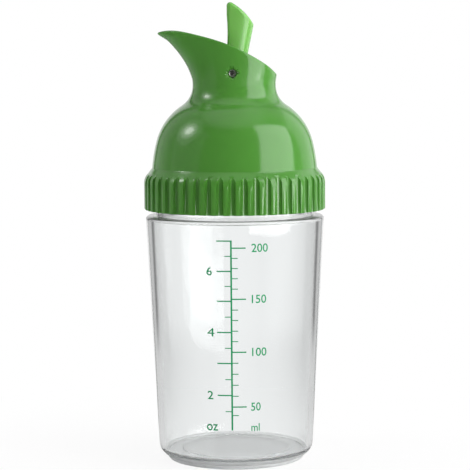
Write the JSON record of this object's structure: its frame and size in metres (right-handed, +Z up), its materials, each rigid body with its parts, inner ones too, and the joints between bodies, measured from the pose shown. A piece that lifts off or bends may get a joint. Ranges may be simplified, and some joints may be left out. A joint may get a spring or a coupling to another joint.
{
  "type": "salad dressing shaker bottle",
  "caption": "Clear tapered tumbler with printed volume marks and a screw cap whose beak-shaped pouring spout is opened and sealed by a thumb lever with a soft stopper.",
  "frame": {"origin": "centre of the foot ring, on the surface the bottle stands on", "axes": "+Z up the bottle's axis, the pouring spout points along -X, the lever's pin lies along Y"},
  "size_m": [0.0678, 0.0678, 0.1709],
  "materials": {
    "clear_plastic": "clear, polished",
    "green_plastic": "gloss",
    "light_green_plastic": "gloss, slightly translucent",
    "gasket_rubber": "satin silicone",
    "stopper_rubber": "satin silicone",
    "pin_steel": "bright rolled"
  },
  "bodies": {
    "tumbler": {"bottle": "clear_plastic"},
    "seal": {"cap_gasket": "gasket_rubber"},
    "lid": {"cap": "green_plastic", "pivot_pin": "pin_steel"},
    "valve": {"lever": "light_green_plastic", "stopper": "stopper_rubber"}
  },
  "joints": [
    {"name": "cap_rise", "type": "slide", "parent": "tumbler", "child": "seal", "axis": [0, 0, 1], "range_m": [0, 0.012]},
    {"name": "cap_turn", "type": "hinge", "parent": "seal", "child": "lid", "pos_m": [0, 0, 0.1], "axis": [0, 0, 1], "range_deg": [0, 540]},
    {"name": "lever_tilt", "type": "hinge", "parent": "lid", "child": "valve", "pos_m": [-0.0007, 0, 0.1448], "axis": [0, 1, 0], "range_deg": [0, 55]}
  ],
  "couplings": [
    {"joint": "cap_rise", "follows": "cap_turn", "m_per_rad": 0.001273}
  ]
}
